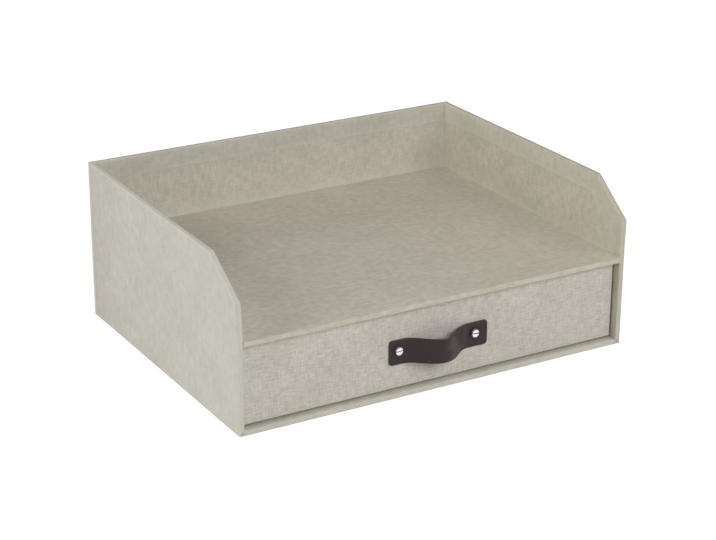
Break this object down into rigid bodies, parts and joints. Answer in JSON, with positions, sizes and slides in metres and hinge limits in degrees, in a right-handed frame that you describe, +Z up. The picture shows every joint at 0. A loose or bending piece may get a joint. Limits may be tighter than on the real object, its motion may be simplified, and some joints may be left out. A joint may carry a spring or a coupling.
{
  "type": "desk tray with drawer",
  "caption": "Open-fronted desk tray with sloped side walls over a single wide drawer with a leather strap pull, in linen-look covered board.",
  "frame": {"origin": "centre of the case's underside", "axes": "+X to the right along the width, +Y to the back, +Z up; the drawer slides out along -Y"},
  "size_m": [0.33, 0.2642, 0.128],
  "materials": {
    "greyboard": "raw grey board",
    "cover_paper": "linen-look cover paper, matt",
    "front_paper": "coarse linen-look cover paper, matt",
    "lining_paper": "mottled lining paper, matt",
    "strap_leather": "smooth dyed leather, soft sheen",
    "chrome": "polished plating"
  },
  "bodies": {
    "case": {"base_board": "greyboard", "base_cover": "cover_paper", "left_side_board": "greyboard", "left_side_cover": "cover_paper", "right_side_board": "greyboard", "right_side_cover": "cover_paper", "back_board": "greyboard", "back_cover": "cover_paper", "shelf_board": "greyboard", "shelf_cover": "cover_paper", "base_lining": "lining_paper", "left_side_lining": "lining_paper", "right_side_lining": "lining_paper", "back_lining": "lining_paper", "shelf_underside_lining": "lining_paper"},
    "drawer": {"tray_bottom_board": "greyboard", "tray_bottom_cover": "cover_paper", "tray_left_board": "greyboard", "tray_left_cover": "cover_paper", "tray_right_board": "greyboard", "tray_right_cover": "cover_paper", "tray_front_board": "greyboard", "tray_front_cover": "cover_paper", "tray_back_board": "greyboard", "tray_back_cover": "cover_paper", "tray_floor_lining": "lining_paper", "tray_left_lining": "lining_paper", "tray_right_lining": "lining_paper", "tray_front_lining": "lining_paper", "tray_back_lining": "lining_paper", "drawer_front_board": "greyboard", "drawer_front_cover": "front_paper", "handle_strap": "strap_leather", "handle_screws": "chrome", "handle_posts": "chrome"}
  },
  "joints": [
    {"name": "drawer_slide", "type": "slide", "parent": "case", "child": "drawer", "axis": [0, -1, 0], "range_m": [0, 0.2]}
  ]
}
